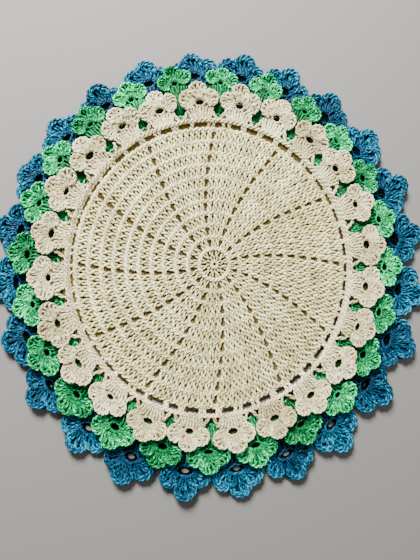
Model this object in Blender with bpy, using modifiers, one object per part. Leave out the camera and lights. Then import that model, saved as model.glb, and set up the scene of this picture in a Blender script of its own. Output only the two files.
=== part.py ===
"""A round crocheted placemat: a cream disc with three tiers of flower edging.

The cream disc is worked in twelve sectors, with an eyelet at the end of each sector in every round
but the first. A round of chain spaces follows, and the cream flowers grow out of it. The green and
the blue flowers are worked on foundation rounds of their own, behind the cream ones, so that the
three tiers overlap like roof tiles. The mat lies on z = 0, with the middle of its outline at the
origin. The crochet's own middle is a little off it, because the blue tier is longer on one side.
"""
import math
import random

import bmesh
import bpy
from mathutils import Matrix, Vector

MM = 0.001

# Cloth
CLOTH = 2.8 * MM                  # thickness of one layer of crochet
TIER_STEP = 3.4 * MM              # height from one tier of flowers to the next
HAIR = 0.1 * MM                   # keeps the faces of two joined shapes off one plane

# Centre disc
SECTORS = 12
ROUNDS = 11
FIRST_ROUND = 14.1 * MM           # outer radius of the first round
ROUND_HEIGHT = 10.45 * MM
RIB = 0.4 * MM                    # how far the chain band of a round stands above its posts
DISC_STEPS = 36
EYELET = (6.6 * MM, 3.6 * MM)     # length and width of the lozenge, along the spoke and across
FIRST_SPOKE = 97.5                # direction of the first spoke in the middle of the disc, degrees
SPOKE_DRIFT = (-8.0, 0.7, 0.5)    # how a spoke turns outwards, degrees, as a cubic of the round

# Round of chain spaces
SPACE_RADIUS = 121.5 * MM
SPACE_HEIGHT = 4.4 * MM
WIDE_SPACE = 11.0 * MM            # under each flower
NARROW_SPACE = 8.4 * MM           # between two flowers
MESH_EDGE = 127.5 * MM

# Flowers
FLOWERS = 24
FIRST_FLOWER = 96.5               # direction of the first cream flower, degrees
PETAL_ANGLES = (-70.0, 0.0, 70.0)
PETAL_CENTRE = 10.0 * MM          # from the flower's hole
PETAL_RADIUS = 8.1 * MM
PETAL_POINTS = (-27.0, -12.0, 12.0, 27.0)
NOTCH = 13.2 * MM                 # from the hole to the notch between two petals
NOTCH_ANGLE = 35.0
HEEL_NOTCH = 9.5 * MM             # from the hole to the notch between a side petal and the fan
HEEL_ANGLE = 110.0
FAN = (-7.6 * MM, 9.3 * MM)       # widest place of the fan below the hole: along and across
FAN_FOOT = 5.0 * MM               # half width of the fan where it starts
FLOWER_HOLE = 2.5 * MM
HOLE_CORNERS = 6
FLOWER_ROOM = 6.85                # half the sector that a flower may fill, degrees round the mat

# Unevenness of hand work, as the largest deviation of one flower
UNEVEN_TURN = 0.45                # degrees round the mat
UNEVEN_REACH = 0.9 * MM
UNEVEN_TWIST = 8.0                # degrees round the flower's own hole
UNEVEN_SIZE = 0.03

# The mat as it lies: stretched along one axis and narrowed across it, its flowers crowded to +Y
OVAL = 0.0185
LONG_AXIS = 78.0                  # degrees
CROWDING = 1.1                    # how far a flower at +X or -X is pushed along, degrees

# A layer climbs over what lies under it between these radii.
CLIMB_OVER_GREEN = (119.0 * MM, 125.5 * MM)
CLIMB_OVER_BLUE = (134.0 * MM, 145.4 * MM)
CLIMBS = {"cream": (CLIMB_OVER_GREEN, CLIMB_OVER_BLUE), "green": (CLIMB_OVER_BLUE,), "blue": ()}

# One row for each tier: the ring of holes, the length and width of a flower's petals at which 1 is
# the shape above, where its fan starts, and how far it is turned against the cream tier. Then the
# side on which the tier is longest in degrees, how much further out its holes lie there and how
# much longer its petals are. Then the band of its foundation round, where its fans and petals bend,
# and where its tips start to curl up and how steeply.
TIERS = {
    "cream": {"holes": 138.5 * MM, "length": 0.87, "width": 1.00, "foot": 124.8 * MM, "turn": 0.0,
              "long_side": 60.0, "further": 1.2 * MM, "longer": 0.04,
              "band": None, "bends": CLIMB_OVER_BLUE, "curl_from": 145.0 * MM, "curl": 0.12, "seed": 3},
    "green": {"holes": 156.0 * MM, "length": 0.89, "width": 1.02, "foot": 132.0 * MM, "turn": 7.2,
              "long_side": 63.0, "further": 3.6 * MM, "longer": 0.0,
              "band": (129.0 * MM, 133.6 * MM), "bends": CLIMB_OVER_BLUE,
              "curl_from": 160.0 * MM, "curl": 0.10, "seed": 5},
    "blue": {"holes": 168.0 * MM, "length": 1.20, "width": 1.20, "foot": 148.6 * MM, "turn": 0.6,
             "long_side": -22.0, "further": 4.1 * MM, "longer": 0.165,
             "band": (146.4 * MM, 150.2 * MM), "bends": (),
             "curl_from": 176.0 * MM, "curl": 0.08, "seed": 9},
}

COLOURS = {"cream": (0.75, 0.66, 0.47, 1.0), "green": (0.10, 0.62, 0.26, 1.0),
           "blue": (0.02, 0.13, 0.27, 1.0)}


def round_edge(number):
    """Outer radius of a round of the disc."""
    return FIRST_ROUND + ROUND_HEIGHT * (number - 1)


def collection(name):
    """A new collection in the scene."""
    made = bpy.data.collections.new(name)
    bpy.context.scene.collection.children.link(made)
    return made


def add_object(name, data, home):
    """A new object that holds the data, in a collection."""
    made = bpy.data.objects.new(name, data)
    home.objects.link(made)
    return made


def add_cutter(name, mesh, home):
    """An object that only cuts or joins others."""
    made = add_object(name, mesh, home)
    made.hide_render = True
    made.display_type = "WIRE"
    return made


def evaluated_mesh(thing):
    """The object's mesh with its modifiers or its curve worked out."""
    depsgraph = bpy.context.evaluated_depsgraph_get()
    return bpy.data.meshes.new_from_object(thing.evaluated_get(depsgraph))


def spoke_angle(sector, number):
    """Direction in radians of a sector's eyelet in a round: the spokes drift clockwise outwards."""
    t = (number - 6) / 5
    drift = sum(factor * t ** power for power, factor in enumerate(SPOKE_DRIFT, start=1))
    return math.radians(FIRST_SPOKE + 360.0 / SECTORS * sector + drift)


def spin_profile(name, profile, steps, home):
    """A solid turned about Z from a profile that runs down its outer side."""
    mesh = bpy.data.meshes.new(name)
    edges = [(i, i + 1) for i in range(len(profile) - 1)]
    mesh.from_pydata([(radius, 0.0, height) for radius, height in profile], edges, [])
    turned = add_object(name, mesh, home)
    screw = turned.modifiers.new("Spin", "SCREW")
    screw.axis = "Z"
    screw.steps = screw.render_steps = steps
    screw.use_merge_vertices = True
    screw.merge_threshold = 0.00001
    return turned


def disc(home):
    """The centre: a flat disc with a raised chain band at the edge of each round."""
    profile = [(0.0, CLOTH)]
    for number in range(1, ROUNDS + 1):
        edge = round_edge(number)
        profile.append((edge - 0.62 * ROUND_HEIGHT, CLOTH - RIB))
        profile.append((edge - 0.08 * ROUND_HEIGHT, CLOTH))
    profile.append((MESH_EDGE, CLOTH))
    profile.append((MESH_EDGE, 0.0))
    profile.append((round_edge(ROUNDS), 0.0))
    profile.append((0.0, 0.0))
    return spin_profile("cream_mat", profile, DISC_STEPS, home)


def band(name, inner, outer, home):
    """A foundation round: a flat ring, a hair thinner than the flowers that it holds."""
    low, high = HAIR, CLOTH - HAIR
    profile = [(inner, high), (outer, high), (outer, low), (inner, low), (inner, high)]
    return spin_profile(name, profile, DISC_STEPS, home)


def prisms(made, places, size, turned):
    """Adds an upright four-sided prism at each radius and direction: a lozenge, or turned, a box."""
    corner = Matrix.Rotation(math.radians(45.0 if turned else 0.0), 4, "Z")
    reach = math.sqrt(0.5) if turned else 0.5
    stretch = Matrix.Diagonal((size[0], size[1], 1.0, 1.0))
    for radius, direction in places:
        place = Matrix.Rotation(direction, 4, "Z") @ Matrix.Translation((radius, 0.0, CLOTH / 2))
        bmesh.ops.create_cone(made, cap_ends=True, segments=4, radius1=reach, radius2=reach,
                              depth=4 * CLOTH, matrix=place @ stretch @ corner)


def gap_cutters(home):
    """The eyelets at the sectors' ends from the second round on, and the round of chain spaces."""
    made = bmesh.new()
    eyelets = [(round_edge(number) - 0.5 * ROUND_HEIGHT, spoke_angle(sector, number))
               for number in range(2, ROUNDS + 1) for sector in range(SECTORS)]
    prisms(made, eyelets, EYELET, turned=False)
    step = 360.0 / FLOWERS
    under = [(SPACE_RADIUS, math.radians(FIRST_FLOWER + step * i)) for i in range(FLOWERS)]
    between = [(radius, direction + math.radians(step / 2)) for radius, direction in under]
    prisms(made, under, (SPACE_HEIGHT, WIDE_SPACE), turned=True)
    prisms(made, between, (SPACE_HEIGHT, NARROW_SPACE), turned=True)
    mesh = bpy.data.meshes.new("gaps")
    made.to_mesh(mesh)
    made.free()
    return add_cutter("gaps", mesh, home)


def around_hole(angle, radius):
    """A point of a flower, from its direction in degrees and its distance to the hole."""
    return radius * math.cos(math.radians(angle)), radius * math.sin(math.radians(angle))


def flower_outline(flower, foot):
    """The outline of a flower about its hole, +X pointing out of the mat: fan, then three petals. It is
    no wider than the room that its neighbours leave it."""
    points = [(FAN[0], -FAN[1]), around_hole(-HEEL_ANGLE, HEEL_NOTCH)]
    for petal in PETAL_ANGLES:
        if petal > PETAL_ANGLES[0]:
            points.append(around_hole(petal - NOTCH_ANGLE + flower["twist"], NOTCH))
        for offset in PETAL_POINTS:
            along = PETAL_CENTRE * math.cos(math.radians(offset))
            aside = PETAL_CENTRE * math.sin(math.radians(offset))
            edge = along + math.sqrt(PETAL_RADIUS ** 2 - aside ** 2)
            points.append(around_hole(petal + offset + flower["twist"], edge))
    points += [around_hole(HEEL_ANGLE, HEEL_NOTCH), FAN]
    room = (flower["radius"] + PETAL_CENTRE / 3) * math.tan(math.radians(FLOWER_ROOM))
    width = min(flower["width"], room / max(abs(y) for x, y in points))
    scaled = [(x * flower["length"], y * width) for x, y in points]
    return [(foot, FAN_FOOT), (foot, -FAN_FOOT)] + scaled


def flat_solid(outline, hole, home):
    """A mesh of one layer's thickness with an outline and a hole, from a filled 2D curve."""
    shape = bpy.data.curves.new("flower_outline", "CURVE")
    shape.dimensions = "2D"
    shape.fill_mode = "BOTH"
    shape.extrude = CLOTH / 2
    for loop in (outline, hole):
        spline = shape.splines.new("POLY")
        spline.points.add(len(loop) - 1)
        for point, (x, y) in zip(spline.points, loop):
            point.co = (x, y, 0.0, 1.0)
        spline.use_cyclic_u = True
    drawn = add_object("flower_outline", shape, home)
    mesh = evaluated_mesh(drawn)
    bpy.data.objects.remove(drawn)
    bpy.data.curves.remove(shape)
    return mesh


def flowers_of(tier):
    """Each flower of a tier: where its hole is, its own twist, and its petals' length and width."""
    dice = random.Random(tier["seed"])
    flowers = []
    for number in range(FLOWERS):
        direction = FIRST_FLOWER + tier["turn"] + 360.0 / FLOWERS * number
        direction += CROWDING * math.cos(math.radians(direction)) + dice.uniform(-1, 1) * UNEVEN_TURN
        side = math.cos(math.radians(direction - tier["long_side"]))
        uneven = 1 + dice.uniform(-1, 1) * UNEVEN_SIZE
        flowers.append({
            "direction": direction,
            "radius": tier["holes"] + tier["further"] * side + dice.uniform(-1, 1) * UNEVEN_REACH,
            "twist": dice.uniform(-1, 1) * UNEVEN_TWIST,
            "length": tier["length"] * (1 + tier["longer"] * side) * uneven,
            "width": tier["width"] * uneven})
    return flowers


def flower_ring(name, colour, thinner, home):
    """All the flowers of a tier in one mesh, each with edges where its layer starts and ends a climb."""
    tier = TIERS[colour]
    ring = bmesh.new()
    for flower in flowers_of(tier):
        radius = flower["radius"]
        corners = [360.0 * i / HOLE_CORNERS for i in range(HOLE_CORNERS)]
        hole = [around_hole(corner, FLOWER_HOLE * flower["length"]) for corner in corners]
        flat = flat_solid(flower_outline(flower, tier["foot"] - radius), hole, home)
        shape = bmesh.new()
        shape.from_mesh(flat)
        bpy.data.meshes.remove(flat)
        bmesh.ops.remove_doubles(shape, verts=shape.verts, dist=0.00001)
        bmesh.ops.dissolve_limit(shape, angle_limit=math.radians(1.0), verts=shape.verts,
                                 edges=shape.edges)
        for bend in tier["bends"]:
            everything = shape.verts[:] + shape.edges[:] + shape.faces[:]
            bmesh.ops.bisect_plane(shape, geom=everything, dist=0.00001,
                                   plane_co=(bend - radius, 0.0, 0.0), plane_no=(1.0, 0.0, 0.0))
        turn = Matrix.Rotation(math.radians(flower["direction"]), 4, "Z")
        thin = Matrix.Diagonal((1.0, 1.0, 1.0 - 2 * thinner / CLOTH, 1.0))
        lift = Matrix.Translation((radius, 0.0, CLOTH / 2))
        bmesh.ops.transform(shape, matrix=turn @ lift @ thin, verts=shape.verts)
        one = bpy.data.meshes.new(name)
        shape.to_mesh(one)
        shape.free()
        ring.from_mesh(one)
        bpy.data.meshes.remove(one)
    mesh = bpy.data.meshes.new(name)
    ring.to_mesh(mesh)
    ring.free()
    return add_cutter(name, mesh, home)


def height_of_layer(colour, radius):
    """How far a layer lies above the table: it climbs over the tiers below, and its tips curl up."""
    height = 0.0
    for start, end in CLIMBS[colour]:
        height += TIER_STEP * min(1.0, max(0.0, (radius - start) / (end - start)))
    tier = TIERS[colour]
    return height + tier["curl"] * max(0.0, radius - tier["curl_from"])


def shape_layer(thing, colour):
    """Works out the object's modifiers and lays the flat cloth over what is under it."""
    mesh = evaluated_mesh(thing)
    thing.modifiers.clear()
    thing.data = mesh
    for vertex in mesh.vertices:
        vertex.co.z += height_of_layer(colour, Vector(vertex.co.xy).length)


def join_or_cut(thing, other, operation):
    """A Boolean modifier on the thing, with the exact solver."""
    modifier = thing.modifiers.new(other.name, "BOOLEAN")
    modifier.operation = operation
    modifier.object = other


def paint(thing, colour):
    """Matt cotton in the tier's colour."""
    material = bpy.data.materials.new(colour + "_cotton")
    material.use_nodes = True
    principled = material.node_tree.nodes["Principled BSDF"]
    principled.inputs["Base Color"].default_value = COLOURS[colour]
    principled.inputs["Roughness"].default_value = 0.85
    principled.inputs["Metallic"].default_value = 0.0
    thing.data.materials.clear()
    thing.data.materials.append(material)


def cream_mat(home, workshop):
    """The disc, its eyelets and chain spaces, and the cream flowers, as one cloth."""
    mat = disc(home)
    join_or_cut(mat, gap_cutters(workshop), "DIFFERENCE")
    join_or_cut(mat, flower_ring("cream_flowers", "cream", HAIR, workshop), "UNION")
    shape_layer(mat, "cream")
    paint(mat, "cream")
    return mat


def border(colour, home, workshop):
    """A foundation round with its ring of flowers, as one cloth."""
    inner, outer = TIERS[colour]["band"]
    edging = band(colour + "_border", inner, outer, home)
    join_or_cut(edging, flower_ring(colour + "_flowers", colour, 0.0, workshop), "UNION")
    shape_layer(edging, colour)
    paint(edging, colour)
    return edging


def lay_out(pieces):
    """Makes the mat a little oval and puts the middle of its outline at the origin."""
    turn = Matrix.Rotation(math.radians(LONG_AXIS), 4, "Z")
    oval = turn @ Matrix.Diagonal((1 + OVAL, 1 - OVAL, 1.0, 1.0)) @ turn.inverted()
    for piece in pieces:
        piece.data.transform(oval)
    points = [vertex.co for piece in pieces for vertex in piece.data.vertices]
    middle = Vector((0.0, 0.0, 0.0))
    for axis in (0, 1):
        middle[axis] = (min(point[axis] for point in points) + max(point[axis] for point in points)) / 2
    for piece in pieces:
        piece.data.transform(Matrix.Translation(-middle))


def main():
    for old in list(bpy.data.objects):
        bpy.data.objects.remove(old)
    placemat = collection("placemat")
    workshop = collection("workshop")
    lay_out([cream_mat(placemat, workshop), border("green", placemat, workshop),
             border("blue", placemat, workshop)])


main()
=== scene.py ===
# %% [markdown]
# # A crocheted placemat, worked stitch by stitch
#
# The mat is a round of cotton crochet: a cream disc with spiral lines of eyelets, and three tiers of
# flowers round it, in cream, green and blue. A flat disc with a bumpy finish would be quick, but it
# would look printed. This lesson works the yarn itself: every stitch is a pair of strands that wind
# round each other, laid where a hook would put them, over a thin web that stands for the back of the
# stitches and is coloured with painted shade.

# %% Load the frame
import math
import random

import bpy
import numpy as np
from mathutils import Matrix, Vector


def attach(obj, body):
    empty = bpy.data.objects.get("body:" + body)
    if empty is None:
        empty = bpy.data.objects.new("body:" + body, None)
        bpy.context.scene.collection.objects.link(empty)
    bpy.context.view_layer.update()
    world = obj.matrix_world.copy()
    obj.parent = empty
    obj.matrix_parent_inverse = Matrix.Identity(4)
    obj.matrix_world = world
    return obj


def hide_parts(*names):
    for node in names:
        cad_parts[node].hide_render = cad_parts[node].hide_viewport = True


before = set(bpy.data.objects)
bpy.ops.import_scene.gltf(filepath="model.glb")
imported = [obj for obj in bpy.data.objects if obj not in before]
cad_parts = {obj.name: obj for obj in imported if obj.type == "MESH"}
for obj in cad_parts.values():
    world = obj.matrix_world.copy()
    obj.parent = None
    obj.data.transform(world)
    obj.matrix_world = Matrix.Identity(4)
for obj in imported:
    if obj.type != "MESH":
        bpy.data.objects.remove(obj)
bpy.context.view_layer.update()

# %% [markdown]
# ## The disc's sizes
# The solids were built from a few driving sizes, in metres. The yarn needs the same ones, because it
# lies where the solids lie. The disc has eleven rounds in twelve sectors, and the eyelets at the ends
# of the sectors form lines that drift clockwise outwards. Points could be typed in one by one, but a
# radius and a direction say where a stitch is, as a maker would.

# %% Rounds and lines of eyelets
MM = 0.001
SECTORS, ROUNDS = 12, 11
FIRST_ROUND = 14.1 * MM  # outer radius of the first round
ROUND_HEIGHT = 10.45 * MM
FIRST_SPOKE, MIDDLE_ROUND = 97.5, 6  # direction of the first line of eyelets in degrees, at this round
SPOKE_DRIFT = (-8.0, 0.7, 0.5)  # how a line turns outwards from there, in degrees, as a cubic


def round_edge(number):
    """Outer radius of a round of the disc."""
    return FIRST_ROUND + ROUND_HEIGHT * (number - 1)


def spoke_angle(sector, number):
    """Direction in radians of a sector's line of eyelets; the number may lie between two rounds."""
    t = (number - MIDDLE_ROUND) / (ROUNDS - MIDDLE_ROUND)
    drift = sum(factor * t ** power for power, factor in enumerate(SPOKE_DRIFT, start=1))
    return np.radians(FIRST_SPOKE + 360.0 / SECTORS * sector + drift)


def polar(radius, angle, height=0.0):
    """Points from their distance to the mat's own middle, direction and height."""
    radius, angle, height = np.broadcast_arrays(radius, angle, height)
    return np.stack([radius * np.cos(angle), radius * np.sin(angle), height], axis=-1)


print("the disc's edge is at", round(round_edge(ROUNDS) / MM, 1), "mm")

# %% [markdown]
# ## How the mat lies
# The tiers overlap like roof tiles: a layer climbs over what lies under it, and its tips curl up.
# Cloth is never quite flat, so everything also lies on low waves. A cloth simulation could drape it,
# but the mat is on a table and hardly moves. So three functions of the place are enough, and what is
# laid through them stays together. Every point is first worked out on a true circle. The real mat is a
# little oval, and its own middle is a little off the middle of its outline, so all points are
# stretched and moved at the very end.

# %% Layers and outline
TIER_STEP = 3.4 * MM
CLIMB_OVER_GREEN = (119.0 * MM, 125.5 * MM)  # the radii between which a layer climbs one step
CLIMB_OVER_BLUE = (134.0 * MM, 145.4 * MM)
LAYERS = {
    "cream": dict(climbs=(CLIMB_OVER_GREEN, CLIMB_OVER_BLUE), curl_from=145.0 * MM, curl=0.12),
    "green": dict(climbs=(CLIMB_OVER_BLUE,), curl_from=160.0 * MM, curl=0.10),
    "blue": dict(climbs=(), curl_from=176.0 * MM, curl=0.08),
}
RIPPLE, LONG_WAVE, SHORT_WAVE = 0.22 * MM, (13 * MM, 19 * MM), (10 * MM, 21 * MM)
OVAL, LONG_AXIS = 0.0185, math.radians(78.0)
MIDDLE = (-7.24 * MM, 2.26 * MM)  # the mat's own middle, from that of its outline


def ripple(points):
    """Low waves that lift the cloth by up to a millimetre."""
    x, y = points[..., 0], points[..., 1]
    long_wave = np.sin(x / LONG_WAVE[0] + y / LONG_WAVE[1] + 1.3)
    short_wave = np.sin(y / SHORT_WAVE[0] - x / SHORT_WAVE[1])
    return RIPPLE * (2 + long_wave + short_wave)


def on_layer(points, colour):
    """Lifts flat points onto their layer."""
    layer, lifted = LAYERS[colour], np.array(points)
    radius = np.hypot(lifted[..., 0], lifted[..., 1])
    for start, end in layer["climbs"]:
        lifted[..., 2] += TIER_STEP * np.clip((radius - start) / (end - start), 0.0, 1.0)
    lifted[..., 2] += layer["curl"] * np.clip(radius - layer["curl_from"], 0.0, None)
    lifted[..., 2] += ripple(lifted)
    return lifted


def lay_out(points):
    """From the true circle to the mat as it lies."""
    cos, sin = math.cos(LONG_AXIS), math.sin(LONG_AXIS)
    turn = np.array([[cos, -sin], [sin, cos]])
    oval = turn @ np.diag([1 + OVAL, 1 - OVAL]) @ turn.T
    laid = np.array(points)
    laid[..., :2] = points[..., :2] @ oval.T + MIDDLE
    return laid


print("the cream flowers lie", round(len(LAYERS["cream"]["climbs"]) * TIER_STEP / MM, 1), "mm up")

# %% [markdown]
# ## Meshes from arrays
# The mat has thousands of stitches, and a mesh that is built point by point in Python is slow to
# make. Blender also takes whole arrays of points and corners, which is fast. Each point keeps a tone
# for its material, which also carries painted shade and light: from 0 for the shaded inside of a
# stitch to 1 for its bright crest.

# %% A mesh from arrays
rng = np.random.default_rng(11)


def jitter(shape, reach):
    """Small deviations of hand work, one for each stitch."""
    return rng.uniform(-reach, reach, shape)


def unit(vectors):
    """Vectors of length one."""
    return vectors / np.maximum(np.linalg.norm(vectors, axis=-1, keepdims=True), 1e-12)


def new_object(name, points, loops, sizes, tones, maps=None):
    """An object from its points, the corners of its faces and the number of corners of each. Each
    point has a tone, and each corner may have its place on the map of the yarn."""
    data = bpy.data.meshes.new(name)
    data.vertices.add(len(points))
    data.vertices.foreach_set("co", lay_out(points).reshape(-1).astype(np.float32))
    data.loops.add(len(loops))
    data.loops.foreach_set("vertex_index", loops.astype(np.int32))
    data.polygons.add(len(sizes))
    data.polygons.foreach_set("loop_start", (np.cumsum(sizes) - sizes).astype(np.int32))
    if maps is not None:
        data.uv_layers.new(name="yarn").data.foreach_set("uv", maps.reshape(-1).astype(np.float32))
    tone = data.attributes.new("tone", "FLOAT", "POINT")
    tone.data.foreach_set("value", tones.astype(np.float32))
    data.update(calc_edges=True)
    data.validate()
    data.shade_smooth()
    made = bpy.data.objects.new(name, data)
    bpy.context.scene.collection.objects.link(made)
    return made


print("brought to length one:", unit(np.array([3.0, 4.0, 0.0])))

# %% [markdown]
# ## Yarn
# A strand of cotton string is a tube that follows a path. A curve object with a bevel gives the same
# shape, but thousands of them are slow. Here one array of paths becomes one array of rings of points,
# and the rings are joined by faces. The flanks of a strand are painted darker than its crest, as
# painted shade from its neighbours, and a strand on top of its stitch is painted brighter than one
# below, as painted light.

# %% Tubes from arrays of paths
UP = np.array([0.0, 0.0, 1.0])
# Painted light and shade in the tone: brighter on top of a stitch and along a crest, darker below it and on
# the flanks.
PAINTED_RISE, PAINTED_CREST = 0.26, 0.32  # how much brighter a strand is on top of its stitch, and along its crest


def heading(paths, closed):
    """Which way each path runs at each of its points, from the points on both sides of it."""
    ahead, behind = np.roll(paths, -1, axis=1), np.roll(paths, 1, axis=1)
    if not closed:
        ahead[:, -1], behind[:, 0] = paths[:, -1], paths[:, 0]
    return ahead - behind


class Yarn:
    """Collects strands, and turns them into one mesh with a map along the yarn and a tone."""

    def __init__(self, sides=5):
        self.sides, self.count = sides, 0
        self.points, self.quads, self.caps, self.maps, self.tones = [], [], [], [], []

    def lay(self, paths, radius, rise=0.0, closed=False, tone=(0.3, 0.7)):
        """Adds strands. paths is an array of strands by points by three, and rise is from -1 below
        to 1 on top of the stitch. The tone is a range from which each strand draws its own, or an
        array of strands by points."""
        strands, length = paths.shape[:2]
        along = unit(heading(paths, closed))
        across = unit(np.cross(along, UP))
        over = np.cross(across, along)
        turn = 2 * np.pi * (np.arange(self.sides) + 0.5) / self.sides
        ring = np.cos(turn)[:, None] * across[:, :, None] + np.sin(turn)[:, None] * over[:, :, None]
        width = np.asarray(radius, float)
        width = np.broadcast_to(width[:, None] if width.ndim == 1 else width, (strands, length))
        steps = np.linalg.norm(np.diff(paths, axis=1, append=paths[:, :1]), axis=-1)
        run = np.concatenate([np.zeros((strands, 1)), np.cumsum(steps, axis=1)], axis=1)
        self.join(paths[:, :, None] + ring * width[:, :, None, None], run if closed else run[:, :-1], closed)
        if isinstance(tone, tuple):
            tone = rng.uniform(*tone, (strands, 1))
        # Painted light and shade: the tone rises on top of the stitch and along the crest, and falls below
        # and on the flanks.
        shade = np.broadcast_to(tone + PAINTED_RISE * rise, (strands, length))
        self.tones.append((shade[..., None] + PAINTED_CREST * np.sin(turn)).reshape(-1))

    def join(self, verts, run, closed):
        """Joins the rings of points by faces, and maps them round and along the yarn."""
        strands, length, sides = verts.shape[:3]
        index = np.arange(strands * length * sides).reshape(strands, length, sides) + self.count
        here = index if closed else index[:, :-1]
        there = np.roll(index, -1, axis=1) if closed else index[:, 1:]
        quads = np.stack([here, np.roll(here, -1, axis=2), np.roll(there, -1, axis=2), there], axis=-1)
        low = np.broadcast_to(np.arange(sides) / sides, here.shape)
        first, last = (np.broadcast_to(edge[:, :, None], here.shape) for edge in (run[:, :-1], run[:, 1:]))
        corners = [(low, first), (low + 1 / sides, first), (low + 1 / sides, last), (low, last)]
        self.maps.append(np.stack([np.stack(corner, axis=-1) for corner in corners], axis=-2).reshape(-1, 2))
        self.quads.append(quads.reshape(-1, 4))
        if not closed:
            self.caps.append(np.concatenate([index[:, 0, ::-1], index[:, -1]]))
        self.points.append(verts.reshape(-1, 3))
        self.count += verts.size // 3

    def mesh(self, name):
        """One object of all the strands."""
        quads = np.concatenate(self.quads)
        caps = np.concatenate(self.caps) if self.caps else np.zeros((0, self.sides), int)
        loops = np.concatenate([quads.reshape(-1), caps.reshape(-1)])
        sizes = np.concatenate([np.full(len(quads), 4), np.full(len(caps), self.sides)])
        maps = np.concatenate(self.maps + [np.zeros((caps.size, 2))])
        print(name, "has", int((sizes - 2).sum()), "triangles")
        return new_object(name, np.concatenate(self.points), loops, sizes, np.concatenate(self.tones), maps)


# %% [markdown]
# ## Stitches
# A double crochet stands as a post of two strands. They cross at its foot, part to leave a small
# eye, cross again and swell under the chain on top. The chain that closes a round is two strands laid
# round each other, half a turn to each stitch. One modelled stitch could be copied along an array,
# but here no two are alike. Both kinds are the same idea, an offset that swings from side to side and
# up and down along a line, so three short functions make every stitch of the mat.

# %% Pairs and ropes
SQUARENESS = 1.6  # how long a strand stays at one side before it crosses to the other


def twist(lines, swing, spread, lift, closed=False):
    """The two strands that wind round each other along each line, and their rise. lines is an array
    of lines by points by three, swing is the first strand's angle at each point, and spread and lift
    are how far a strand swings to the side and up."""
    aside = unit(np.cross(heading(lines, closed), UP))
    strands, rises = [], []
    for half in (0.0, np.pi):
        rise = np.broadcast_to(np.sin(swing + half), lines.shape[:2])
        sway = np.tanh(SQUARENESS * np.cos(swing + half)) / math.tanh(SQUARENESS)
        path = lines + aside * (spread * sway)[..., None]
        path[..., 2] += lift * rise
        strands.append(path)
        rises.append(rise)
    return np.concatenate(strands), np.concatenate(rises)


def pairs(foot, head, spread, lift, start=-np.pi / 2, turn=2 * np.pi, steps=5, warp=1.0):
    """Straight posts of two strands, from their feet to their heads; warp moves the middle crossing
    along the post."""
    t = np.linspace(0.0, 1.0, steps)
    lines = foot[:, None] + (head - foot)[:, None] * t[:, None]
    swing = np.reshape(start, (-1, 1)) + turn * t ** warp
    return twist(lines, swing, np.reshape(spread, (-1, 1)), lift)


def rope(path, half_turns, spread, lift, start=0.0, closed=False):
    """The two strands of a chain along one path of points."""
    share = np.arange(len(path)) / (len(path) if closed else len(path) - 1)
    return twist(path[None], (start + np.pi * half_turns * share)[None], spread, lift, closed)


trial = pairs(np.zeros((1, 3)), np.array([[0.0, ROUND_HEIGHT, 0.0]]), spread=MM, lift=MM)[0]
print("a post has two strands of", trial.shape[1], "points")

# %% [markdown]
# A round closes with a chain along the heads of its stitches. A perfect circle would look machine
# made, so each stitch of the chain strays a little and bulges a little, and where the maker worked
# tightly the chain sinks between its neighbours.

# %% Close a round with a chain
TIGHT_SIDE = math.radians(-20.0)
UNEVEN_CHAIN, BEAD = 0.16 * MM, 0.12 * MM  # how far a chain strays, and how far each stitch bulges
SUNK_SHADE = 0.6


def tightness(angle):
    """How tight the stitches are, from 0 to the upper left to 1 at the lower right."""
    return 0.5 + 0.5 * np.cos(angle - TIGHT_SIDE)


def close_round(yarn, radius, stitches, height, thick, spread, lift, colour="cream", steps=4,
                tone=(0.5, 0.9), sink=0.0):
    """A chain all the way round the mat. It may sink a little where the stitches are tight."""
    angle = 2 * np.pi * np.arange(stitches * steps) / (stitches * steps)
    uneven = np.repeat(jitter(stitches, UNEVEN_CHAIN), steps) + BEAD * np.sin(stitches * angle)
    stand = 1 - sink * tightness(angle)
    strands, rise = rope(polar(radius + uneven, angle, height * stand), stitches, spread, lift, closed=True)
    # Painted shade: where the chain sinks, its tone is darker.
    shade = np.repeat(rng.uniform(*tone, (2, stitches)), steps, axis=1) + SUNK_SHADE * (stand - 1)
    yarn.lay(on_layer(strands, colour), thick * np.tile(stand, (2, 1)), rise, closed=True, tone=shade)


print("tightness above, left, below and right:", tightness(np.radians([90, 180, 270, 360])).round(2))

# %% [markdown]
# ## Web
# Behind the strands a maker would see the back loops of the stitches, a closed web with no gaps but
# the eyelets and the spaces. A see-through material could fake the gaps, but real ones let light and
# shadow through. So the web is thin cloth: grids of points with some cells left open, thickened by a
# Solidify modifier.

# %% Thin cloth from grids
# The web is coloured with painted shade, for the shadow between and behind the strands.
WEB = 0.5 * MM


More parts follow.
